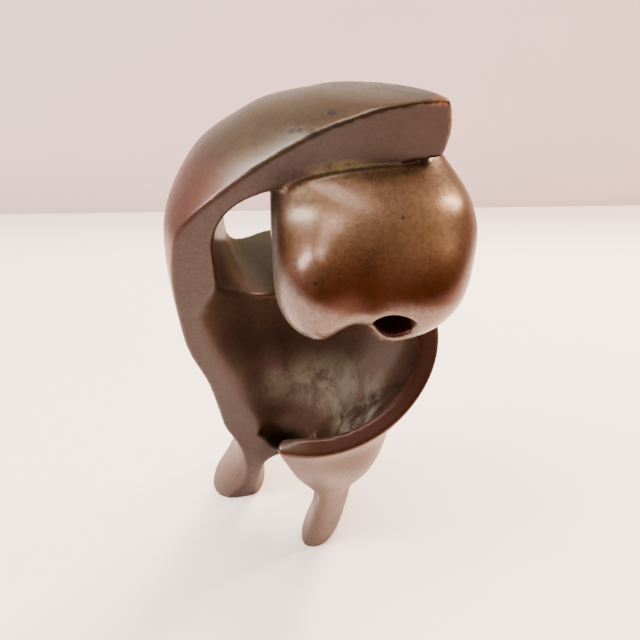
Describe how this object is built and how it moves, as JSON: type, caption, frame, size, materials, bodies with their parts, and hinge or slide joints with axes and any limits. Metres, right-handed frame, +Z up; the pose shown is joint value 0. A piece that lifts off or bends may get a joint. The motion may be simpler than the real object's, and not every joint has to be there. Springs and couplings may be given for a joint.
{
  "type": "abstract bronze sculpture",
  "caption": "Tabletop abstract bronze figure: a hooded mantle on two feet arches over a hanging round head and an open hollow belly.",
  "frame": {"origin": "on the ground, under the middle of the figure's bounding box", "axes": "+Z up from the feet to the crest, +X to the figure's right as seen from the front, towards the beak, +Y to the back"},
  "size_m": [0.1515, 0.1168, 0.3],
  "materials": {
    "bronze": "satin brown patina on cast bronze, worn brighter on edges and swellings"
  },
  "bodies": {
    "root": {"bronze_figure": "bronze"}
  },
  "joints": []
}
